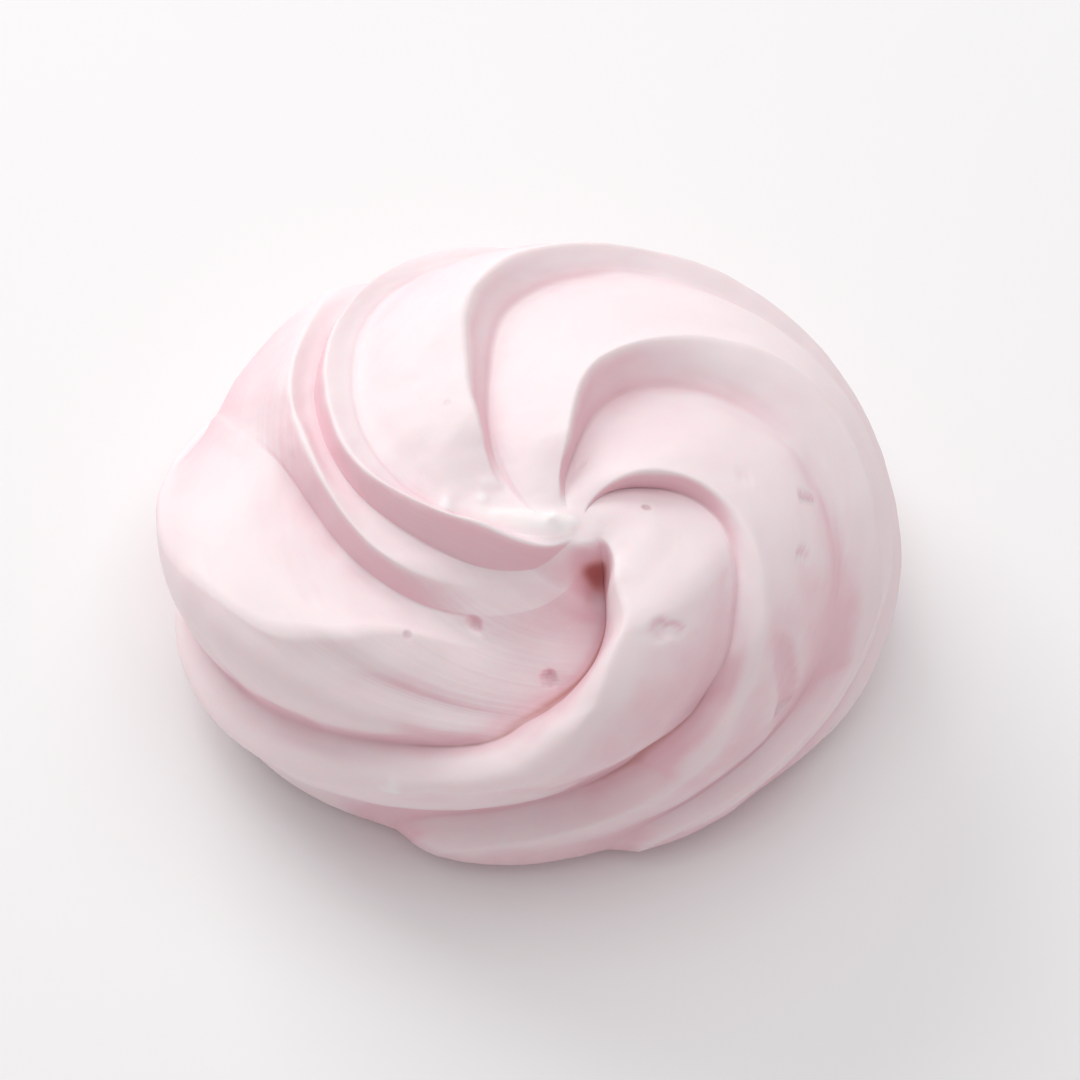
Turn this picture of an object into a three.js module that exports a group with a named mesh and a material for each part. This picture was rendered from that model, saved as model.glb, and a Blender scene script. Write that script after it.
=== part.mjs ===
// Meringue cookie: a low, round, piped kiss of baked meringue with a spiral of ridges.
// Millimetres, +Z up. The flat foot lies on Z = 0 and the Z axis runs through the middle of the box.
//
// A ring number t runs down the surface: 0 at the tip of the swirl, 1 at the widest level,
// footRing at the edge of the flat foot. A ridge is the strip between two creases. Seen from
// above, all ridges wind clockwise on their way out.

import * as THREE from "three";

const { clamp, degToRad, lerp, smoothstep } = THREE.MathUtils;

// The smooth body that carries the ridges.
const halfWidth = 21.9; // along X
const halfDepth = 20.4; // along Y
const bodyHeight = 21.0; // level of the tip, without ridges
const waistLevel = 7.5; // height of the widest level
const shoulder = 2.25; // 2 gives an ellipse, more gives fuller shoulders
const tip = { x: 3.0, y: -8.3, pull: 1.6 }; // the swirl ends off centre, pull says how fast rings centre
const footShare = 0.83; // radius of the flat foot over the widest radius
const footRing = 1.4;

// The winding of the ridges, in degrees.
const steadyTurn = 125;
const tailTurn = 30; // extra winding close to the tip
const tailRing = 0.1;
const rimTurn = 45; // extra winding low on the side
const footTurn = 25; // and still more at the waist
const stop = { ring: 1.14, blend: 0.03 }; // here the winding ends and the ridges run straight down

// Shape of every ridge.
const crestLean = 0.45; // how far a crest leans over its crease, over its height
const leanLoss = 0.8; // share of the lean that is lost on the way down the side
const fadeIn = 0.12; // rings over which a ridge grows from nothing
const footLoss = { rise: 0.55, groove: 0.9 }; // shares of the relief that are lost towards the foot
const creaseFill = { height: 0.2, width: 0.6 }; // a fillet along every crease
const rollWidth = 0.9; // how wide a crest is rounded off
const roughWidth = halfWidth; // a ridge's width is its angle times this times t
const runOut = 0.07; // how soon a crease stops turning past the last ring

// Each ridge at five rings: its first crease in degrees, the place of its crest as a share of its
// width, the height of the crest over its creases, how deep its first crease lies in the body, and
// how hollow the long side is. scoop hollows the short side, and roll rounds off the crest.
const rings = [0.12, 0.3, 0.5, 0.72, 0.98];
const ridges = [
  { // the broad ridge that curls round the hole beside the tip
    start: 0.02,
    crease: [-31, -17, -2, 26, 40],
    crest: [0.14, 0.23, 0.34, 0.34, 0.26],
    rise: [2.4, 2.5, 2.6, 2.8, 2.8],
    groove: [2.2, 1.4, 1.1, 0.9, 0.9],
    hollow: [0, 0, 0, 0, 0],
    scoop: 0,
    roll: 0,
  },
  { // right front, melts into the ridge before it for a stretch
    start: 0.02,
    crease: [82, 45, 44, 71, 108],
    crest: [0.12, 0.14, 0.17, 0.17, 0.24],
    rise: [2, 1.2, 1.2, 2.1, 2.2],
    groove: [1.4, 0.3, 0.2, 1.7, 3],
    hollow: [0.15, 0.15, 0.15, 0.15, 0.15],
    scoop: 0.15,
    roll: 0.05,
  },
  { // right back
    start: 0.03,
    crease: [133, 134, 102, 105, 145],
    crest: [0.24, 0.32, 0.41, 0.22, 0.2],
    rise: [2, 2.3, 1.9, 1.4, 1.6],
    groove: [1, 1.1, 0.7, 0.6, 1.6],
    hollow: [0.3, 0.3, 0.3, 0.3, 0.3],
    scoop: 0.6,
    roll: 0.05,
  },
  { // back
    start: 0.12,
    crease: [181, 183, 192, 194, 186],
    crest: [0.17, 0.2, 0.26, 0.25, 0.28],
    rise: [1.6, 2.1, 2, 1.4, 1.3],
    groove: [0.6, 0.9, 0.9, 0.5, 0.5],
    hollow: [0.3, 0.3, 0.3, 0.3, 0.3],
    scoop: 0.7,
    roll: 0.1,
  },
  { // a narrow, low ridge at the back left that ends as the lip over the bowl
    start: 0.04,
    crease: [224, 233, 232, 240, 243],
    crest: [0.6, 0.72, 0.57, 0.58, 0.5],
    rise: [1.6, 1.8, 1.3, 1.1, 1],
    groove: [0.3, 0.3, 0.4, 0.4, 0.4],
    hollow: [0.1, 0.1, 0.1, 0.1, 0.1],
    scoop: 0.5,
    roll: 0.1,
  },
  { // left
    start: 0.12,
    crease: [248, 250, 248, 254, 286],
    crest: [0.3, 0.7, 0.42, 0.2, 0.4],
    rise: [1.2, 1.9, 1.6, 1.3, 1.1],
    groove: [0.6, 1.1, 0.9, 0.6, 0.5],
    hollow: [0.4, 0.4, 0.4, 0.4, 0.4],
    scoop: 0.6,
    roll: 0.2,
  },
  { // left front, starts well away from the tip
    start: 0.24,
    crease: [285, 281, 267, 293, 336],
    crest: [0.1, 0.36, 0.59, 0.46, 0.25],
    rise: [2, 2, 3.4, 3, 1.8],
    groove: [1.2, 1.3, 1, 0.6, 0.5],
    hollow: [0.6, 0.6, 1.1, -0.2, 0],
    scoop: 0.8,
    roll: 0.05,
  },
];

// The bowl in front of the tip. It follows the first crease outward and reaches less far from the
// tip with every ridge before that crease, so its edge climbs the ends of three ridges like steps.
// fall deepens it outward, in millimetres per unit of t, and ease is the share of its depth that is
// lost one ridge before that crease.
const bowl = { depth: 1.6, fall: 8, ease: 0.4, reach: 0.45, ridges: 3.2, inner: 0.3, outer: 1.9 };
const lipRidge = 4; // the ridge whose crest is the upper edge of the bowl
const hole = { x: 3.8, y: -10.0, radius: 1.3 }; // the deepest spot of the bowl
const holePush = new THREE.Vector3(-0.2, 1.2, -3.4); // down, and in under the tip

// How finely the surface is divided.
const rowCount = 62;
const firstRing = 0.02;
const shortSideSteps = 5; // from crease to crest
const longSideSteps = 7; // from crest to the next crease

// A cubic from ring to ring, whose slope at a ring is that between the neighbouring rings. Past
// the first and last ring it goes on with the end's slope and soon levels off.
function curveThrough(values, t) {
  const last = rings.length - 1;
  const slopeAt = (i) => {
    const before = Math.max(i - 1, 0);
    const after = Math.min(i + 1, last);
    return (values[after] - values[before]) / (rings[after] - rings[before]);
  };
  const at = clamp(t, rings[0], rings[last]);
  const past = runOut * (1 - Math.exp(-Math.abs(t - at) / runOut));
  if (t < rings[0]) {
    return values[0] - slopeAt(0) * past;
  }
  let i = 0;
  while (i < last - 1 && at > rings[i + 1]) {
    i += 1;
  }
  const span = rings[i + 1] - rings[i];
  const s = (at - rings[i]) / span;
  const bend = span * s * (1 - s) * (slopeAt(i) * (1 - s) - slopeAt(i + 1) * s);
  return lerp(values[i], values[i + 1], s * s * (3 - 2 * s)) + bend + slopeAt(last) * past;
}

// Eases from one ring's value to the next without overshoot.
function easedThrough(values, t) {
  let value = values[0];
  for (let i = 1; i < rings.length; i += 1) {
    value += (values[i] - values[i - 1]) * smoothstep(t, rings[i - 1], rings[i]);
  }
  return value;
}

// How far a ridge has wound clockwise at ring t.
function windingAt(t) {
  const tail = tailTurn * (1 - Math.exp(-t / tailRing));
  const wound = stop.ring - stop.blend * Math.log1p(Math.exp((stop.ring - t) / stop.blend));
  const low = rimTurn * smoothstep(wound, 0.45, 1.35) + footTurn * smoothstep(wound, 0.95, 1.2);
  return steadyTurn * wound + tail + low;
}

// The direction of a ridge's first crease, before winding.
function creaseAngle(index, t) {
  const laps = Math.floor(index / ridges.length);
  return 360 * laps + curveThrough(ridges[index % ridges.length].crease, t);
}

// A point of the smooth body: a superellipse above the waist, a quarter round tuck below it.
function bodyPoint(t, angle) {
  const power = 2 / shoulder;
  const quarter = Math.PI / 2;
  let radius;
  let level;
  let shift = 0;
  if (t < 1) {
    radius = Math.sin(t * quarter) ** power;
    level = lerp(waistLevel, bodyHeight, Math.cos(t * quarter) ** power);
    shift = 1 - radius ** tip.pull;
  } else {
    const tuck = clamp((t - 1) / (footRing - 1), 0, 1) * quarter;
    radius = 1 - (1 - footShare) * (1 - Math.cos(tuck));
    level = waistLevel * (1 - Math.sin(tuck));
  }
  return new THREE.Vector3(
    tip.x * shift + halfWidth * radius * Math.cos(angle),
    tip.y * shift + halfDepth * radius * Math.sin(angle),
    level,
  );
}

// The outward direction and the direction round the ring, by small differences.
function bodyFrame(t, angle) {
  const step = 1e-3;
  const at = clamp(t, firstRing, 1 - 2 * step);
  const down = bodyPoint(at + step, angle).sub(bodyPoint(at - step, angle));
  const round = bodyPoint(at, angle + step).sub(bodyPoint(at, angle - step));
  const outward = down.clone().cross(round);
  if (t >= 1) {
    outward.z = 0;
  }
  return { outward: outward.normalize(), round: round.normalize() };
}

// Height over the creases, 0 at both creases and 1 at the crest. Both sides are a half sine, or
// as far as they are scooped or hollow, a parabola that is steepest at the crest.
function ridgeProfile(ridge, t, across, crest) {
  const onShortSide = across < crest;
  const way = onShortSide ? across / crest : (1 - across) / (1 - crest);
  const bent = onShortSide ? way * (0.4 + 0.6 * way) : way * (0.3 + 0.7 * way);
  const share = onShortSide ? ridge.scoop : easedThrough(ridge.hollow, t);
  return lerp(Math.sin((way * Math.PI) / 2), bent, share);
}

// The fillet along the creases less the rounding of the crest, in millimetres.
function roundingAt(ridge, across, crest, width) {
  const fromCrease = (Math.min(across, 1 - across) * width) / creaseFill.width;
  const fromCrest = ((across - crest) * width) / rollWidth;
  return creaseFill.height * Math.exp(-fromCrease * fromCrease) - ridge.roll * Math.exp(-fromCrest * fromCrest);
}

// The share of the relief that is left low on the side.
function footRelief(t, loss) {
  return 1 - loss * smoothstep(t, 0.98, 1.28);
}

// The height of a ridge's crest at ring t.
function riseAt(ridge, t) {
  const grown = smoothstep(t, ridge.start, ridge.start + fadeIn);
  return easedThrough(ridge.rise, t) * grown * footRelief(t, footLoss.rise);
}

// The depth of a ridge's first crease at ring t.
function grooveAt(ridge, t) {
  return easedThrough(ridge.groove, t) * smoothstep(t, 0, 0.14) * footRelief(t, footLoss.groove);
}

// How many ridges a place lies before the first crease.
function ridgesBack(index, across) {
  return index === 0 ? 0 : ridges.length - index - across;
}

// How much a place belongs to the bowl, 0 to 1. On the first ridge it fades out up the short side.
function bowlShare(t, index, across, crest) {
  if (index > 0 && index < lipRidge) {
    return 0;
  }
  const reach = bowl.reach * Math.max(1 - ridgesBack(index, across) / bowl.ridges, 0.02);
  let share = (1 - smoothstep(t / reach, bowl.inner, bowl.outer)) * smoothstep(t, 0.02, 0.09);
  if (index === 0) {
    share *= clamp(1 - across / crest, 0, 1);
  }
  if (index === lipRidge) {
    share *= smoothstep(across, crest, 1);
  }
  return share;
}

// A point of the finished surface: ring t, ridge number, and the share of the way across it.
function surfacePoint(t, index, across) {
  const ridge = ridges[index];
  const next = ridges[(index + 1) % ridges.length];
  const crest = easedThrough(ridge.crest, t);
  const inBowl = bowlShare(t, index, across, crest);
  const low = creaseAngle(index, t);
  const high = creaseAngle(index + 1, t);
  const angle = degToRad(lerp(low, high, across) - windingAt(t));
  const width = degToRad(high - low) * roughWidth * clamp(t, 0.05, 1);
  const strength = riseAt(ridge, t) * (index === 0 ? 1 : 1 - smoothstep(inBowl, 0.4, 0.9));
  const climb = strength * ridgeProfile(ridge, t, across, crest)
    + clamp(strength / 2, 0, 1) * roundingAt(ridge, across, crest, width);
  const sink = lerp(grooveAt(ridge, t), grooveAt(next, t), across);
  const lean = crestLean * climb * (1 - leanLoss * smoothstep(t, 0.5, 1.1));
  const { outward, round } = bodyFrame(t, angle);
  const point = bodyPoint(t, angle);
  point.addScaledVector(outward, climb - sink);
  point.addScaledVector(round, -lean);
  const lost = bowl.ease * Math.min(ridgesBack(index, across), 1);
  point.z -= inBowl * (bowl.depth + bowl.fall * t) * (1 - lost);
  const away = Math.hypot(point.x - hole.x, point.y - hole.y) / hole.radius;
  point.addScaledVector(holePush, inBowl * Math.exp(-away * away));
  return point;
}

// The places across one ridge where the surface is divided, closer together on the short side.
function stepsAcross(crest) {
  const places = [];
  for (let i = 0; i < shortSideSteps; i += 1) {
    places.push((crest * i) / shortSideSteps);
  }
  for (let i = 0; i < longSideSteps; i += 1) {
    places.push(lerp(crest, 1, i / longSideSteps));
  }
  return places;
}

// Rows of points that follow the ridges, from the tip to the edge of the foot.
function skinPoints() {
  const points = [];
  for (let row = 0; row <= rowCount; row += 1) {
    const t = lerp(firstRing, footRing, row / rowCount);
    for (let index = 0; index < ridges.length; index += 1) {
      for (const across of stepsAcross(easedThrough(ridges[index].crest, t))) {
        points.push(surfacePoint(t, index, across));
      }
    }
  }
  return points;
}

// One closed skin: the rows, joined to one point at the tip and one in the middle of the foot.
function meringueGeometry() {
  const points = skinPoints();
  const columns = ridges.length * (shortSideSteps + longSideSteps);
  const lastRow = rowCount * columns;
  const tipPoint = new THREE.Vector3();
  points.slice(0, columns).forEach((point) => tipPoint.addScaledVector(point, 1 / columns));
  const tipIndex = points.push(tipPoint) - 1;
  const footIndex = points.push(new THREE.Vector3(0, 0, 0)) - 1;
  const faces = [];
  for (let column = 0; column < columns; column += 1) {
    const beside = (column + 1) % columns;
    faces.push(tipIndex, column, beside);
    faces.push(footIndex, lastRow + beside, lastRow + column);
    for (let row = 0; row < rowCount; row += 1) {
      const here = row * columns;
      const below = here + columns;
      faces.push(here + column, below + column, below + beside);
      faces.push(here + column, below + beside, here + beside);
    }
  }
  const geometry = new THREE.BufferGeometry().setFromPoints(points);
  geometry.setIndex(faces);
  geometry.computeBoundingBox();
  const middle = geometry.boundingBox.getCenter(new THREE.Vector3());
  geometry.translate(-middle.x, -middle.y, 0);
  geometry.computeVertexNormals();
  return geometry;
}

function makeMeringue() {
  const bakedMeringue = new THREE.MeshStandardMaterial({
    color: "#f0d2d7",
    roughness: 0.6,
    metalness: 0,
  });
  const mesh = new THREE.Mesh(meringueGeometry(), bakedMeringue);
  mesh.name = "meringue";
  return mesh;
}

const cookie = new THREE.Group();
cookie.add(makeMeringue());

export default cookie;
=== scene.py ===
import math
import bpy
import numpy as np
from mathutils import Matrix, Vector


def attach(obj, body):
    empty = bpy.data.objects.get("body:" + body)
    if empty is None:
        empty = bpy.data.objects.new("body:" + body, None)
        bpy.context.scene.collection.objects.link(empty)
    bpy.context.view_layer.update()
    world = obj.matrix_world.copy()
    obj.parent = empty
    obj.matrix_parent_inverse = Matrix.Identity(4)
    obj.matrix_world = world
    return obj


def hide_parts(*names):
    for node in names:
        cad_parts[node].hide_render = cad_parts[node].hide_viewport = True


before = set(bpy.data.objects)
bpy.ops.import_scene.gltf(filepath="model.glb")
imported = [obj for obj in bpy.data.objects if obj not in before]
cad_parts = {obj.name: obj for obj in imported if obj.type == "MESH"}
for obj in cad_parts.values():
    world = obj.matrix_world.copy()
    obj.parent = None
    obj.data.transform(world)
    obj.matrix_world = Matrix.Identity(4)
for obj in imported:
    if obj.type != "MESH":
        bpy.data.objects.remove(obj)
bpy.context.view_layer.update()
print("loaded the packed meringue")

# millimetres; t is a ring number, 0 at the tip of the swirl, 1 at the widest level, 1.4 at the foot's edge
swirl = dict(
    halfWidth=21.9, halfDepth=20.4, height=21.0, waist=7.5, shoulder=2.25,  # the smooth body
    tipX=3.0, tipY=-8.3, tipPull=1.6, footShare=0.83, footRing=1.4,  # its tip and its foot
    steadyTurn=125.0, tailTurn=30.0, tailRing=0.1, rimTurn=45.0, rimRings=(0.45, 1.35),  # winding in degrees
    footTurn=25.0, footRings=(0.95, 1.2), stopRing=1.14, stopBlend=0.03,
    crestLean=0.45, leanLoss=0.8, leanRings=(0.5, 1.1), scoopBend=0.6, hollowBend=0.7,  # how the ridges bend
    fadeIn=0.12, grooveIn=0.14, riseLoss=0.55, grooveLoss=0.9, lowRings=(0.98, 1.28), fullRise=2.0,  # and begin and end
    bowlDepth=1.6, bowlFall=8.0, bowlEase=0.4, bowlReach=0.45, bowlRidges=3.2, leastReach=0.02,  # the bowl at the tip
    bowlEdge=(0.3, 1.9), bowlStart=(0.02, 0.09), bowlKeep=(0.4, 0.9),
    holeX=3.6, holeY=-9.75, holeRadius=1.15, holePush=(-0.2, 1.2, -3.1),  # the hole in the bowl
    creaseFill=0.2, fillWidth=0.6, rollWidth=0.9, runOut=0.07,  # rounding of creases and crests, run-out past the rings
    tipRing=0.006, rows=328, rowEase=0.45,  # the first row's ring, steps down the side, how they crowd near the tip
    shortSide=12, longSide=28,  # steps across a ridge, up to its crest and past it
)

# five rings, and at each the ridge's first crease (degrees), its crest's place, its height and its crease's depth;
# it begins at the ring start, scoop and hollow bend its short and its long side, and roll rounds its crest
rings = (0.12, 0.30, 0.50, 0.72, 0.98)
ridges = [
    dict(start=0.02, crease=(-31, -17, -2, 26, 40), crest=(0.14, 0.23, 0.34, 0.34, 0.26),
         rise=(2.4, 2.5, 2.6, 2.8, 2.8), groove=(2.2, 1.4, 1.1, 0.9, 0.9),
         scoop=0.00, hollow=(0.0, 0.0, 0.0, 0.0, 0.0), roll=0.00),
    dict(start=0.02, crease=(82, 45, 44, 71, 108), crest=(0.12, 0.14, 0.17, 0.17, 0.24),
         rise=(2.0, 1.2, 1.2, 2.1, 2.2), groove=(1.4, 0.3, 0.2, 1.7, 3.0),
         scoop=0.15, hollow=(0.1, 0.1, 0.1, 0.1, 0.1), roll=0.05),
    dict(start=0.03, crease=(133, 134, 102, 105, 145), crest=(0.24, 0.32, 0.41, 0.22, 0.20),
         rise=(2.0, 2.3, 1.9, 1.4, 1.6), groove=(1.0, 1.1, 0.7, 0.6, 1.6),
         scoop=0.60, hollow=(0.3, 0.3, 0.3, 0.3, 0.3), roll=0.05),
    dict(start=0.12, crease=(181, 183, 192, 194, 186), crest=(0.17, 0.20, 0.26, 0.25, 0.28),
         rise=(1.6, 2.1, 2.0, 1.4, 1.3), groove=(0.6, 0.9, 0.9, 0.5, 0.5),
         scoop=0.70, hollow=(0.3, 0.3, 0.3, 0.3, 0.3), roll=0.10),
    dict(start=0.04, crease=(224, 233, 232, 240, 243), crest=(0.60, 0.72, 0.57, 0.58, 0.50),
         rise=(1.6, 1.8, 1.3, 1.1, 1.0), groove=(0.3, 0.3, 0.4, 0.4, 0.4),
         scoop=0.50, hollow=(0.1, 0.1, 0.1, 0.1, 0.1), roll=0.10),
    dict(start=0.12, crease=(248, 250, 248, 254, 286), crest=(0.30, 0.70, 0.42, 0.20, 0.40),
         rise=(1.2, 1.9, 1.6, 1.3, 1.1), groove=(0.6, 1.1, 0.9, 0.6, 0.5),
         scoop=0.60, hollow=(0.4, 0.4, 0.4, 0.4, 0.4), roll=0.20),
    dict(start=0.24, crease=(285, 281, 267, 293, 336), crest=(0.10, 0.36, 0.59, 0.46, 0.25),
         rise=(2.0, 2.0, 3.4, 3.0, 1.8), groove=(1.2, 1.3, 1.0, 0.6, 0.5),
         scoop=0.80, hollow=(0.6, 0.6, 1.1, -0.2, 0.0), roll=0.05),
]
lipRidge = 4  # the bowl begins past this ridge's crest

# what the piping bag and the oven leave on the surface, in millimetres
relief = dict(
    sag=0.22, sagSize=7.0, sagSeed=5,  # slow unevenness of the ridges
    ripple=0.07, rippleSize=1.9, rippleSeed=9,  # small lumps
    streak=0.008, streakWidth=0.7, streakLength=9.0, streakRings=(0.08, 0.25), streakSeed=17,  # nozzle marks
    bead=0.08, beadWidth=0.6,  # a thin raised line on each crest
    crestWobble=0.12, wobbleLength=4.0, wobbleRings=(0.1, 0.3), wobbleSeed=11,  # crests stray to the sides
    heightWobble=0.10, heightLength=5.6, heightSeed=23,  # and rise and sink along their way
    tear=0.18, tearSize=0.7, tearSeeds=(31, 37),  # ragged outlines of bumps and pits
    crumbs=(0.7, 0.6), crumbSize=1.1, crumbSeed=41,  # mean and range of a bump's broken height
    ridgeRun=32, roundRun=17.0, ridgeApart=50,  # the noise's way along a ridge, round a ring and between ridges
    markRing=0.9, endRings=(1.2, 1.38),  # marks stay above the one ring, all relief ends between the others
    calm=2, around=40, hollowRange=(-0.6, 0.9),  # rounds of blur for the push and for the hollow map
)
# where shade is painted darkest in the hole beside the tip: it fades out sideways and above top, over fade
well = dict(x=3.35, y=-9.60, width=1.6, depth=0.62, top=20.2, fade=1.6)
# a torn band along the lip, raised in irregular patches
lipTear = dict(
    start=(-4.9, -6.2), end=(2.0, -8.1), width=0.80, height=0.26, patch=1.5, patchSeed=43, edge=(-0.5, 0.5),
)
# bumps of torn paste and the pits of burst bubbles: x, y, radius and height, which is below 0 for a pit
marks = [
    (-2.6, -4.5, 0.50, 0.26), (-3.1, -5.6, 0.45, 0.12), (1.5, -7.8, 0.50, 0.34), (-8.7, -20.1, 0.80, 0.18),
    (15.5, -14.1, 0.90, -0.35), (-3.6, -12.6, 0.34, -0.35), (1.0, -15.3, 0.34, -0.35), (7.7, -15.5, 0.60, -0.30),
    (8.6, -15.2, 0.35, -0.20), (16.5, -3.9, 0.40, -0.20), (16.2, -8.3, 0.40, -0.18), (12.8, -3.8, 0.45, -0.12),
    (2.9, -3.2, 0.30, -0.08),
]


# a smooth step from 0 at low to 1 at high
def smooth(x, low, high):
    way = np.clip((x - low) / (high - low), 0, 1)
    return way * way * (3 - 2 * way)


# a curve through one value at each ring: a cubic between rings, its slope at a ring that between the neighbours,
# and past the ends an exponential that soon levels off
def curveThrough(values, t):
    last = len(rings) - 1
    slopes = []
    for i in range(last + 1):
        before, after = max(i - 1, 0), min(i + 1, last)
        slopes.append((values[after] - values[before]) / (rings[after] - rings[before]))
    at = np.clip(t, rings[0], rings[last])
    curve = values[0] + 0 * at
    for i in range(last):
        span = rings[i + 1] - rings[i]
        s = (at - rings[i]) / span
        piece = values[i] + (values[i + 1] - values[i]) * s * s * (3 - 2 * s)
        piece = piece + span * s * (1 - s) * (slopes[i] * (1 - s) - slopes[i + 1] * s)
        curve = np.where(at > rings[i], piece, curve)
    runOut = swirl["runOut"] * (1 - np.exp(-np.abs(t - at) / swirl["runOut"]))
    return curve + np.where(t < rings[0], -slopes[0], slopes[last]) * runOut


# from one ring's value to the next in smooth steps
def easedThrough(values, t):
    value = values[0] + 0 * t
    for i in range(1, len(rings)):
        value = value + (values[i] - values[i - 1]) * smooth(t, rings[i - 1], rings[i])
    return value


# winding in degrees: steady with t, more close to the tip, more again low on the side and most at the waist; it ends
# at stopRing, as a soft minimum of t and that ring, so that the ridges run straight down the foot
def windingAt(t):
    tail = swirl["tailTurn"] * (1 - np.exp(-t / swirl["tailRing"]))
    wound = swirl["stopRing"] - swirl["stopBlend"] * np.log1p(np.exp((swirl["stopRing"] - t) / swirl["stopBlend"]))
    low = swirl["rimTurn"] * smooth(wound, *swirl["rimRings"])
    waist = swirl["footTurn"] * smooth(wound, *swirl["footRings"])
    return swirl["steadyTurn"] * wound + tail + low + waist


# direction of a ridge's first crease before winding
def creaseAngle(index, t):
    laps, own = divmod(index, len(ridges))
    return 360.0 * laps + curveThrough(ridges[own]["crease"], t)


# smooth body: a superellipse dome with its rings sliding towards the tip, then a quarter-round tuck to the foot
def bodyPoint(t, angle):
    quarter = np.pi / 2
    power = 2 / swirl["shoulder"]
    upper = np.clip(t, 0, 1)
    dome = np.sin(upper * quarter) ** power
    domeLevel = swirl["waist"] + (swirl["height"] - swirl["waist"]) * np.abs(np.cos(upper * quarter)) ** power
    tuck = np.clip((t - 1) / (swirl["footRing"] - 1), 0, 1) * quarter
    radius = np.where(t > 1, 1 - (1 - swirl["footShare"]) * (1 - np.cos(tuck)), dome)
    level = np.where(t > 1, swirl["waist"] * (1 - np.sin(tuck)), domeLevel)
    shift = 1 - dome ** swirl["tipPull"]
    x = swirl["tipX"] * shift + swirl["halfWidth"] * radius * np.cos(angle)
    y = swirl["tipY"] * shift + swirl["halfDepth"] * radius * np.sin(angle)
    return np.stack([x, y, level], -1)


# directions outward and round the ring, from small differences of the body
def bodyFrame(t, angle):
    step = 1e-3
    at = np.clip(t, 0.02, 1 - 2 * step)
    down = bodyPoint(at + step, angle) - bodyPoint(at - step, angle)
    around = bodyPoint(at, angle + step) - bodyPoint(at, angle - step)
    outward = np.cross(down, around)
    outward[..., 2] = np.where(t >= 1, 0, outward[..., 2])
    outward /= np.linalg.norm(outward, axis=-1, keepdims=True)
    around /= np.linalg.norm(around, axis=-1, keepdims=True)
    return outward, around


# a ridge's height over its creases, 0 to 1: a half sine up the short side and down the long one; with scoop the
# short side climbs ever steeper to its crest instead, with hollow the long side falls steeply and then flattens
def ridgeProfile(across, crest, scoop, hollow):
    way = np.where(across < crest, across / crest, (1 - across) / (1 - crest))
    climbing = scoop * way * (1 - swirl["scoopBend"] * (1 - way))
    falling = hollow * way * (1 - swirl["hollowBend"] * (1 - way))
    bent = np.where(across < crest, climbing, falling)
    kept = np.where(across < crest, 1 - scoop, 1 - hollow)
    return bent + kept * np.sin(way * np.pi / 2)


# share of the ridges' height or depth that is left low on the side
def footRelief(t, loss):
    return 1 - loss * smooth(t, *swirl["lowRings"])


# a ridge's height: its values eased from ring to ring, growing from 0 at its start
def riseAt(ridge, t):
    begun = smooth(t, ridge["start"], ridge["start"] + swirl["fadeIn"])
    return easedThrough(ridge["rise"], t) * begun * footRelief(t, swirl["riseLoss"])


# a crease's depth: its values eased from ring to ring, growing from 0 at the tip
def grooveAt(ridge, t):
    begun = smooth(t, 0, swirl["grooveIn"])
    return easedThrough(ridge["groove"], t) * begun * footRelief(t, swirl["grooveLoss"])


# how many ridges a place lies before the first crease
def ridgesBack(index, across):
    return 0 * across if index == 0 else len(ridges) - index - across


# share of the bowl: it follows the first crease outward and reaches less far with every ridge before it
def bowlShare(t, index, across, crest):
    if 0 < index < lipRidge:
        return 0 * t
    reach = np.maximum(1 - ridgesBack(index, across) / swirl["bowlRidges"], swirl["leastReach"])
    share = 1 - smooth(t / (swirl["bowlReach"] * reach), *swirl["bowlEdge"])
    share = share * smooth(t, *swirl["bowlStart"])
    if index == 0:
        share = share * np.clip(1 - across / crest, 0, 1)
    if index == lipRidge:
        share = share * smooth(across, crest, 1.0)
    return share


# value noise: random numbers on a lattice, blended smoothly between its corners, -1 to 1
def latticeNoise(points, size, seed):
    table = np.random.default_rng(seed).uniform(-1, 1, 8192)
    primes = (73856093, 19349663, 83492791)  # they scatter the corners over the table
    scaled = points / size
    corner = np.floor(scaled).astype(np.int64)
    part = scaled - corner
    ease = part * part * (3 - 2 * part)
    total = 0
    for offset in np.ndindex(2, 2, 2):
        keys = (corner + offset) * primes
        place = (keys[..., 0] ^ keys[..., 1] ^ keys[..., 2]) % len(table)
        total = total + np.where(offset, ease, 1 - ease).prod(-1) * table[place]
    return total


# three octaves of the noise, each half as large and half as strong, scaled back to -1 to 1
def layeredNoise(points, size, seed):
    octaves = (1, 2, 4)
    total = sum(latticeNoise(points, size / finer, seed + k) / finer for k, finer in enumerate(octaves))
    return total / sum(1 / finer for finer in octaves)


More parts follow.
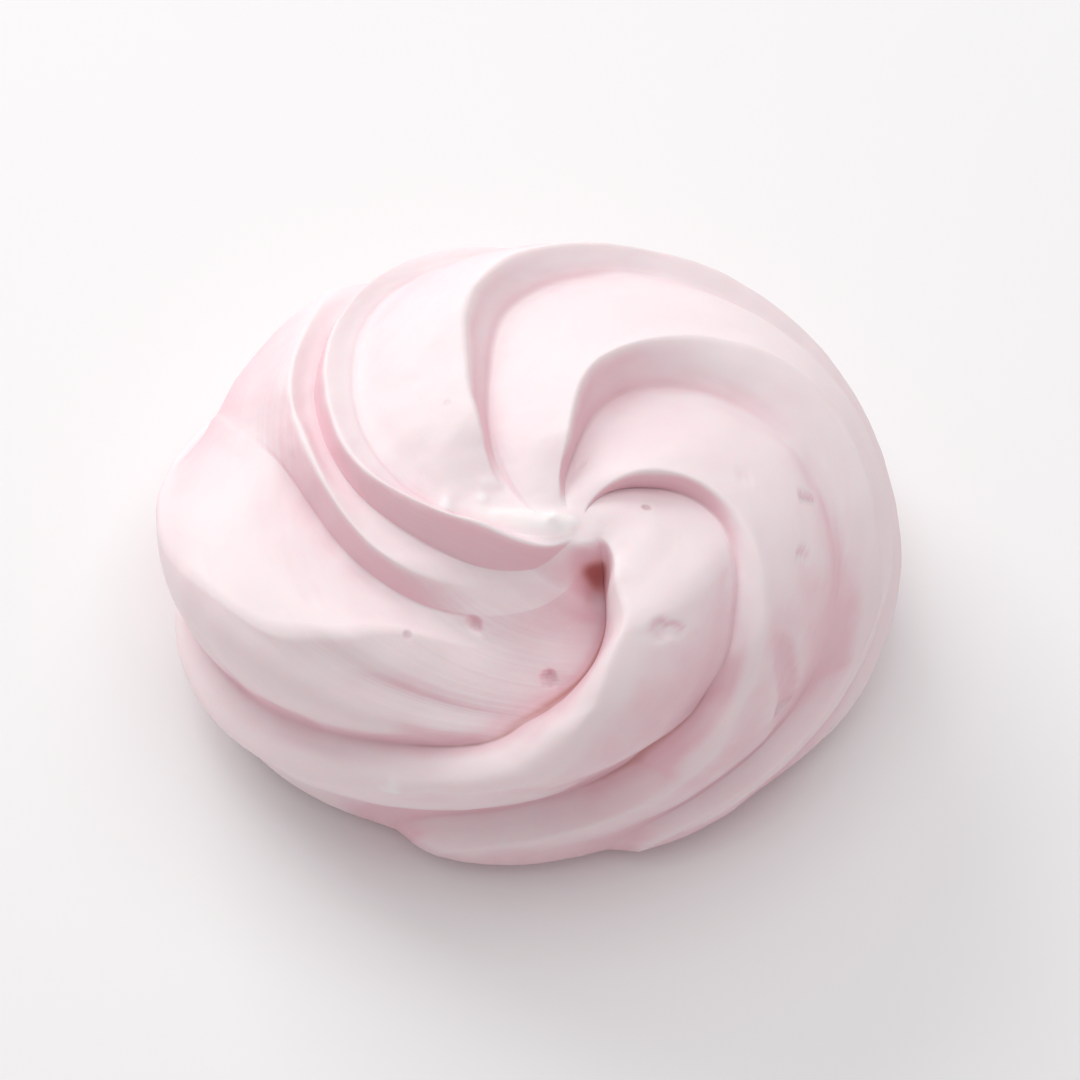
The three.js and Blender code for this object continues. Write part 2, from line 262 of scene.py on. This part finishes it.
# one ridge's skin: the body plus height times profile less the creases' depth outward, less a share of that height
# round the ring, so that the crest leans; then lowered by the bowl, and pushed in by a Gaussian round the hole
def ridgeSkin(index, t, steps):
    ridge, following = ridges[index], ridges[(index + 1) % len(ridges)]
    alongRidge = np.stack([t * relief["ridgeRun"], 0 * t + relief["ridgeApart"] * index, 0 * t], -1)
    wobble = relief["crestWobble"] * latticeNoise(alongRidge, relief["wobbleLength"], relief["wobbleSeed"])
    crest = easedThrough(ridge["crest"], t) * (1 + wobble * smooth(t, *relief["wobbleRings"]))
    short, long = swirl["shortSide"], swirl["longSide"]
    across = np.where(steps < short, crest * steps / short, crest + (1 - crest) * (steps - short) / long)
    inBowl = bowlShare(t, index, across, crest)
    low, high = creaseAngle(index, t), creaseAngle(index + 1, t)
    angle = np.radians(low + (high - low) * across - windingAt(t))
    kept = 1 if index == 0 else 1 - smooth(inBowl, *swirl["bowlKeep"])
    width = np.radians(high - low) * swirl["halfWidth"] * np.clip(t, 0.05, 1)  # rough width of the ridge
    fromCrest = (across - crest) * width
    fromCrease = np.minimum(across, 1 - across) * width
    strength = riseAt(ridge, t) * kept
    uneven = 1 + relief["heightWobble"] * latticeNoise(alongRidge, relief["heightLength"], relief["heightSeed"])
    climb = strength * uneven * ridgeProfile(across, crest, ridge["scoop"], easedThrough(ridge["hollow"], t))
    rounding = swirl["creaseFill"] * np.exp(-(fromCrease / swirl["fillWidth"]) ** 2)
    rounding = rounding - ridge["roll"] * np.exp(-(fromCrest / swirl["rollWidth"]) ** 2)
    raised = np.clip(strength / swirl["fullRise"], 0, 1)
    climb = climb + rounding * raised
    sink = grooveAt(ridge, t) * (1 - across) + grooveAt(following, t) * across
    lean = swirl["crestLean"] * climb * (1 - swirl["leanLoss"] * smooth(t, *swirl["leanRings"]))
    outward, around = bodyFrame(t, angle)
    skin = bodyPoint(t, angle) + outward * (climb - sink)[..., None] - around * lean[..., None]
    lost = swirl["bowlEase"] * np.minimum(ridgesBack(index, across), 1)
    skin[..., 2] -= inBowl * (swirl["bowlDepth"] + swirl["bowlFall"] * t) * (1 - lost)
    away = np.hypot(skin[..., 0] - swirl["holeX"], skin[..., 1] - swirl["holeY"]) / swirl["holeRadius"]
    skin = skin + (inBowl * np.exp(-away * away))[..., None] * np.array(swirl["holePush"])
    return skin, index + across, fromCrest, raised


# average of a grid with its neighbours, repeated; columns run round, rows end
def blurred(grid, times):
    for _ in range(times):
        padded = np.concatenate([grid[:1], grid, grid[-1:]], 0)
        grid = 0.25 * padded[:-2] + 0.5 * grid + 0.25 * padded[2:]
        grid = 0.25 * np.roll(grid, 1, 1) + 0.5 * grid + 0.25 * np.roll(grid, -1, 1)
    return grid


# unit normals of a grid of points, from the cross product of its two directions
def gridNormals(grid):
    down = np.gradient(grid, axis=0)
    around = np.roll(grid, -1, 1) - np.roll(grid, 1, 1)
    normal = np.cross(down, around)
    return normal / np.maximum(np.linalg.norm(normal, axis=-1, keepdims=True), 1e-9)


# share of the torn band: a Gaussian of the distance from a straight line, kept only where slow noise is high
def tornBand(points):
    start, end = np.array(lipTear["start"]), np.array(lipTear["end"])
    along = end - start
    part = np.clip(((points[..., :2] - start) * along).sum(-1) / (along * along).sum(), 0, 1)
    away = np.linalg.norm(points[..., :2] - start - part[..., None] * along, axis=-1) / lipTear["width"]
    noise = latticeNoise(points, lipTear["patch"], lipTear["patchSeed"])
    return np.exp(-away ** 2) * smooth(noise, *lipTear["edge"])


# the whole skin as a grid in millimetres, rows down the side and columns round: the ridges side by side, each point
# pushed along its normal by noise, crest beads, the torn band and the marks; with the maps that its finish reads
def meringueSkin():
    way = np.linspace(0, 1, swirl["rows"] + 1)
    way = (1 - swirl["rowEase"]) * way + swirl["rowEase"] * way ** 2
    t = swirl["tipRing"] + (swirl["footRing"] - swirl["tipRing"]) * way
    rowT, steps = np.meshgrid(t, np.arange(swirl["shortSide"] + swirl["longSide"]), indexing="ij")
    parts = [ridgeSkin(index, rowT, steps) for index in range(len(ridges))]
    skin, across, fromCrest, raised = (np.concatenate(grids, 1) for grids in zip(*parts))
    ringT = np.tile(rowT, (1, len(ridges)))
    middle = (skin.max((0, 1)) + skin.min((0, 1))) / 2 * (1, 1, 0)
    skin = skin - middle
    own = skin + middle  # marks and the torn band are placed as the swirl is, from the middle of its waist

    normal = gridNormals(blurred(skin, relief["calm"]))
    streakX = across * relief["roundRun"] * np.clip(ringT, 0.15, 1) / relief["streakWidth"]
    streakY = ringT * relief["ridgeRun"] / relief["streakLength"]
    streaks = latticeNoise(np.stack([streakX, streakY, 0 * ringT], -1), 1.0, relief["streakSeed"])
    push = relief["sag"] * layeredNoise(skin, relief["sagSize"], relief["sagSeed"])
    push = push + relief["ripple"] * layeredNoise(skin, relief["rippleSize"], relief["rippleSeed"])
    push = push + relief["streak"] * streaks * smooth(ringT, *relief["streakRings"])
    push = push + relief["bead"] * np.exp(-(fromCrest / relief["beadWidth"]) ** 2) * raised
    ragged = [latticeNoise(skin, relief["tearSize"], seed) for seed in relief["tearSeeds"]]
    ragged = relief["tear"] * np.stack(ragged, -1)
    crumbMean, crumbRange = relief["crumbs"]
    crumbs = crumbMean + crumbRange * latticeNoise(skin, relief["crumbSize"], relief["crumbSeed"])
    torn = tornBand(own)
    push = push + lipTear["height"] * torn
    for x, y, radius, height in marks:
        away = np.linalg.norm(own[..., :2] + ragged - (x, y), axis=-1) / radius
        mark = np.exp(-away ** 2) * crumbs if height > 0 else np.exp(-away ** 4)
        mark = mark * (ringT < relief["markRing"])
        push = push + height * mark
        if height > 0:
            torn = np.maximum(torn, mark)
    push = push * (1 - smooth(ringT, *relief["endRings"]))
    skin = skin + normal * push[..., None]
    skin[..., 2] = np.maximum(skin[..., 2], 0)
    skin[-1, :, 2] = 0

    normal = gridNormals(skin)
    # how far a place lies below its surroundings; the finish paints shade in the creases and highlight on the crests
    # from it
    hollow = np.clip(((blurred(skin, relief["around"]) - skin) * normal).sum(-1), *relief["hollowRange"])
    # where shade is painted in the hole beside the tip
    fromWell = ((skin + middle)[..., :2] - (well["x"], well["y"])) / (well["width"], well["depth"])
    inWell = np.exp(-(fromWell ** 2).sum(-1)) * smooth(well["top"] - skin[..., 2], 0, well["fade"])
    # upward is how far the normal points up; the finish paints light on what faces up from it
    return skin, across / len(ridges), ringT, dict(hollow=hollow, upward=normal[..., 2], inWell=inWell, torn=torn)


# the grid's faces: quads between neighbouring rows and columns, and two fans that close the tip and the foot
def meringueFaces(rows, columns):
    index = np.arange(rows * columns).reshape(rows, columns)
    here, below = index[:-1], index[1:]
    quads = np.stack([here, below, np.roll(below, -1, 1), np.roll(here, -1, 1)], -1).reshape(-1, 4)
    tipIndex, footIndex = rows * columns, rows * columns + 1
    tipFan = np.stack([np.full(columns, tipIndex), index[0], np.roll(index[0], -1)], -1)
    footFan = np.stack([np.full(columns, footIndex), np.roll(index[-1], -1), index[-1]], -1)
    return quads, tipFan, footFan


# the skin as a mesh in metres, with its uv and with its maps as attributes
def buildMeringue():
    skin, around, ringT, maps = meringueSkin()
    rows, columns = skin.shape[:2]
    quads, tipFan, footFan = meringueFaces(rows, columns)
    points = np.vstack([skin.reshape(-1, 3), skin[0].mean(0), [0, 0, 0]]) * 0.001
    mesh = bpy.data.meshes.new("meringueSkin")
    mesh.from_pydata(points.tolist(), [], quads.tolist() + tipFan.tolist() + footFan.tolist())
    mesh.update()
    smoothFlags = np.ones(len(mesh.polygons), bool)
    smoothFlags[-columns:] = False  # the underside stays flat-shaded
    mesh.polygons.foreach_set("use_smooth", smoothFlags)

    # uv: along the ridges upward, across them sideways
    u0 = around.copy()
    u1 = np.roll(around, -1, 1)
    u1[:, -1] = 1.0
    quadU = np.stack([u0[:-1], u0[1:], u1[1:], u1[:-1]], -1)
    quadV = np.stack([ringT[:-1], ringT[1:], ringT[1:], ringT[:-1]], -1)
    quadUv = np.stack([quadU, quadV], -1).reshape(-1, 2)
    fanU = np.stack([(u0[0] + u1[0]) / 2, u0[0], u1[0]], -1)
    fanUv = np.stack([fanU, np.zeros_like(fanU)], -1).reshape(-1, 2)
    footUv = np.stack([fanU, np.full_like(fanU, swirl["footRing"])], -1).reshape(-1, 2)
    layer = mesh.uv_layers.new(name="ridgeUv")
    layer.data.foreach_set("uv", np.vstack([quadUv, fanUv, footUv]).astype(np.float32).ravel())

    for name, grid in maps.items():
        layer = mesh.attributes.new(name, "FLOAT", "POINT")
        atTip = 1 if name == "upward" else 0
        layer.data.foreach_set("value", np.append(grid.ravel(), [atTip, 0]).astype(np.float32))
    piece = bpy.data.objects.new("meringue_skin", mesh)
    bpy.context.scene.collection.objects.link(piece)
    return piece


# wraps a socket so that maths on it is written as an expression
class Value:
    def __init__(self, tree, socket):
        self.tree, self.socket = tree, socket

    def math(self, operation, first, second=None):
        node = self.tree.nodes.new("ShaderNodeMath")
        node.operation = operation
        for slot, item in zip(node.inputs, (first, second)):
            if isinstance(item, Value):
                self.tree.links.new(item.socket, slot)
            elif item is not None:
                slot.default_value = item
        return Value(self.tree, node.outputs[0])

    def __add__(self, other): return self.math("ADD", self, other)
    def __radd__(self, other): return self.math("ADD", other, self)
    def __sub__(self, other): return self.math("SUBTRACT", self, other)
    def __rsub__(self, other): return self.math("SUBTRACT", other, self)
    def __mul__(self, other): return self.math("MULTIPLY", self, other)
    def __rmul__(self, other): return self.math("MULTIPLY", other, self)
    def __truediv__(self, other): return self.math("DIVIDE", self, other)
    def __rtruediv__(self, other): return self.math("DIVIDE", other, self)
    def least(self, other): return self.math("MINIMUM", self, other)
    def most(self, other): return self.math("MAXIMUM", self, other)
    def clipped(self): return self.most(0.0).least(1.0)

    # 0 below low, 1 above high, smooth between
    def step(self, low, high):
        way = ((self - low) / (high - low)).clipped()
        return way * way * (3.0 - 2.0 * way)


# adds nodes to one material: type, then settings, then socket values or links
class Finish:
    def __init__(self, name):
        self.material = bpy.data.materials.new(name)
        self.material.use_nodes = True
        self.tree = self.material.node_tree
        self.tree.nodes.clear()

    def node(self, kind, settings=None, **sockets):
        node = self.tree.nodes.new(kind)
        for key, item in (settings or {}).items():
            setattr(node, key, item)
        for key, item in sockets.items():
            slot = self.inputOf(node, key)
            if isinstance(item, Value):
                self.tree.links.new(item.socket, slot)
            elif isinstance(item, bpy.types.NodeSocket):
                self.tree.links.new(item, slot)
            else:
                slot.default_value = item
        return node

    # a socket by its name without spaces, or by its number as in_3
    def inputOf(self, node, key):
        if key.startswith("in_"):
            return node.inputs[int(key[3:])]
        return next(slot for slot in node.inputs if slot.name.replace(" ", "") == key and slot.enabled)

    def value(self, socket):
        return Value(self.tree, socket)

    def mixColour(self, share, first, second):
        node = self.node("ShaderNodeMix", dict(data_type="RGBA"), in_0=share, in_6=first, in_7=second)
        return node.outputs[2]


bakedSugar = dict(
    # the paste's own pink stays on the sides; the layers below paint light on tops and crests and shade in creases,
    # pits and the hole
    sidePaste=(0.89, 0.59, 0.65, 1),
    topPaste=(0.915, 0.79, 0.815, 1),  # painted light: what faces up is painted paler, as the lit tops look
    patchPaste=(0.87, 0.64, 0.69, 1),
    # the paste's own paler streaks, and painted highlight on the crests
    crestPaste=(0.95, 0.82, 0.84, 1),
    creasePaste=(0.85, 0.52, 0.58, 1),  # painted shade: darker, deeper pink down in the creases
    # painted shade, darkest, in the deepest creases
    deepPaste=(0.58, 0.21, 0.19, 1),
    # painted shade in the bubble pits
    pitPaste=(0.60, 0.38, 0.42, 1),
    tornPaste=(0.97, 0.90, 0.90, 1),  # paler paste on the flakes torn off the lip
    rimPaste=(0.78, 0.42, 0.40, 1),  # painted shade where the hole begins
    wellPaste=(0.50, 0.14, 0.13, 1),  # painted shade, darkest, at the bottom of the hole beside the tip
    # where on its map a layer sets in, where it is full, and its share at most; for the bubbles the share alone
    top=(0.35, 0.95, 1.0), patch=(0.45, 0.75, 0.35), streak=(0.45, 0.75, 0.12), crest=(0.02, 0.30, 0.8),
    crease=(0.05, 0.46, 0.55), deep=(0.45, 0.90, 0.8), bubble=0.6, torn=(0.20, 0.75, 0.8),
    rim=(0.0, 0.6, 0.55), well=(0.25, 0.95, 0.95),
    # noise cells per metre, for the streaks per unit of the uv
    patchScale=130.0, lumpScale=700.0, grainScale=2600.0, bubbleScale=420.0, streakScale=(210.0, 4.5, 1.0),
    bubbleChosen=(0.94, 0.97), bubbleEdge=(0.05, 0.17),
    grainHeight=0.035, streakHeight=0.04, lumpHeight=0.12, bubbleDepth=0.9, bumpDepth=0.00028, bumpStrength=0.55,
    roughness=0.52, grainRough=0.14, patchRough=0.12, creaseRough=0.1,
    gloss=0.42, glow=0.3, glowRadius=(1.0, 0.45, 0.38), glowDepth=0.0008,
)


def makeBakedSugar():
    look = bakedSugar
    finish = Finish("bakedSugar")
    place = finish.node("ShaderNodeTexCoord").outputs["Object"]
    ridgeUv = finish.node("ShaderNodeUVMap", dict(uv_map="ridgeUv")).outputs["UV"]

    def mapOf(name):
        return finish.value(finish.node("ShaderNodeAttribute", dict(attribute_name=name)).outputs["Fac"])

    def noiseOn(vector, scale, detail=3.0, roughness=0.55):
        node = finish.node("ShaderNodeTexNoise", Vector=vector, Scale=scale, Detail=detail, Roughness=roughness)
        return finish.value(node.outputs["Fac"])

    def shareOf(layer, value):
        low, high, most = look[layer]
        return value.step(low, high) * most

    hollow, inWell = mapOf("hollow"), mapOf("inWell")
    patches, lumps = noiseOn(place, look["patchScale"]), noiseOn(place, look["lumpScale"])
    grain = noiseOn(place, look["grainScale"], 4.0, 0.6)
    stretched = finish.node("ShaderNodeMapping", Vector=ridgeUv, Scale=look["streakScale"]).outputs["Vector"]
    streaks = noiseOn(stretched, 1.0)

    # air bubbles that broke at the surface: few, round and uneven in size
    cells = finish.node("ShaderNodeTexVoronoi", Vector=place, Scale=look["bubbleScale"], Randomness=1.0)
    cellTone = finish.value(finish.node("ShaderNodeSeparateColor", Color=cells.outputs["Color"]).outputs[0])
    rounds = 1.0 - finish.value(cells.outputs["Distance"]).step(*look["bubbleEdge"])
    bubble = rounds * cellTone.step(*look["bubbleChosen"])

    layers = (
        # painted light: tops paler where the surface faces up
        (shareOf("top", mapOf("upward")), "topPaste"),
        (shareOf("patch", patches), "patchPaste"),
        (shareOf("streak", streaks), "crestPaste"),
        # painted highlight: crests, where the hollow map is below 0, are paler
        (shareOf("crest", hollow * -1.0), "crestPaste"),
        # painted shade: creases darker
        (shareOf("crease", hollow), "creasePaste"),
        # painted shade: the deepest creases darker still
        (shareOf("deep", hollow), "deepPaste"),
        # painted shade: the bubble pits darker
        (bubble * look["bubble"], "pitPaste"),
        (shareOf("torn", mapOf("torn")), "tornPaste"),
        # painted shade: the hole beside the tip darker, darkest at its bottom
        (shareOf("rim", inWell), "rimPaste"),
        (shareOf("well", inWell), "wellPaste"),
    )
    colour = look["sidePaste"]
    for share, paste in layers:
        colour = finish.mixColour(share, colour, look[paste])

    inCrease = hollow.step(*look["crease"][:2])
    rough = look["roughness"] + (grain - 0.5) * look["grainRough"] + (patches - 0.5) * look["patchRough"]
    rough = rough + inCrease * look["creaseRough"]
    height = grain * look["grainHeight"] + streaks * look["streakHeight"] + lumps * look["lumpHeight"]
    height = height - bubble * look["bubbleDepth"]
    bump = finish.node("ShaderNodeBump", Height=height, Distance=look["bumpDepth"], Strength=look["bumpStrength"])
    shader = finish.node(
        "ShaderNodeBsdfPrincipled",
        BaseColor=colour, Roughness=rough.clipped(), Normal=bump.outputs["Normal"],
        SubsurfaceWeight=look["glow"], SubsurfaceRadius=look["glowRadius"], SubsurfaceScale=look["glowDepth"],
        SpecularIORLevel=look["gloss"],
    )
    finish.node("ShaderNodeOutputMaterial", Surface=shader.outputs["BSDF"])
    return finish.material


meringue = buildMeringue()
meringue.data.materials.append(makeBakedSugar())
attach(meringue, "root")
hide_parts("meringue")
print("built the meringue:", len(meringue.data.polygons), "faces")

tableTop = dict(size=4.0, colour=(0.93, 0.93, 0.93, 1), roughness=0.6, gloss=0.2)


# one square at table level
def buildTable():
    half = tableTop["size"] / 2
    mesh = bpy.data.meshes.new("tableTop")
    mesh.from_pydata([(-half, -half, 0), (half, -half, 0), (half, half, 0), (-half, half, 0)], [], [(0, 1, 2, 3)])
    piece = bpy.data.objects.new("table_top", mesh)
    bpy.context.scene.collection.objects.link(piece)
    finish = Finish("whiteTable")
    shader = finish.node("ShaderNodeBsdfPrincipled", BaseColor=tableTop["colour"],
                         Roughness=tableTop["roughness"], SpecularIORLevel=tableTop["gloss"])
    finish.node("ShaderNodeOutputMaterial", Surface=shader.outputs["BSDF"])
    mesh.materials.append(finish.material)


# place, size and power of each lamp, in metres and watts; all of them face lampAim
lampAim = (0, 0, 0.01)
lamps = dict(
    window=dict(at=(-0.235, 0.37, 0.225), size=0.34, power=1.3, colour=(1.0, 0.99, 0.98)),
    overhead=dict(at=(0.05, 0.10, 0.62), size=0.60, power=1.38, colour=(1.0, 1.0, 1.0)),
)
sky = dict(colour=(1.0, 0.985, 0.99, 1), strength=0.48)


def lightScene():
    for name, lamp in lamps.items():
        light = bpy.data.lights.new(name, "AREA")
        light.size, light.energy, light.color = lamp["size"], lamp["power"], lamp["colour"]
        holder = bpy.data.objects.new(name, light)
        holder.location = lamp["at"]
        holder.rotation_euler = (Vector(lampAim) - holder.location).to_track_quat("-Z", "Y").to_euler()
        bpy.context.scene.collection.objects.link(holder)
    world = bpy.data.worlds.new("studio")
    world.use_nodes = True
    background = next(node for node in world.node_tree.nodes if node.type == "BACKGROUND")
    background.inputs["Color"].default_value = sky["colour"]
    background.inputs["Strength"].default_value = sky["strength"]
    bpy.context.scene.world = world
    bpy.context.scene.view_settings.view_transform = "Standard"


# degrees and metres; frameWidth is how much the picture spans at the target
cameraPlace = dict(elevation=55.0, distance=0.8, target=(0.0007, 0.0, 0.0085), frameWidth=0.066, sensor=36.0)


def placeCamera():
    lens = bpy.data.cameras.new("viewer")
    lens.sensor_width = cameraPlace["sensor"]
    lens.lens = cameraPlace["sensor"] * cameraPlace["distance"] / cameraPlace["frameWidth"]
    holder = bpy.data.objects.new("viewer", lens)
    elevation = math.radians(cameraPlace["elevation"])
    back = Vector((0, -math.cos(elevation), math.sin(elevation)))
    holder.location = Vector(cameraPlace["target"]) + back * cameraPlace["distance"]
    holder.rotation_euler = back.to_track_quat("Z", "Y").to_euler()
    bpy.context.scene.collection.objects.link(holder)
    bpy.context.scene.camera = holder


buildTable()
lightScene()
placeCamera()
print("set the table, light and camera")
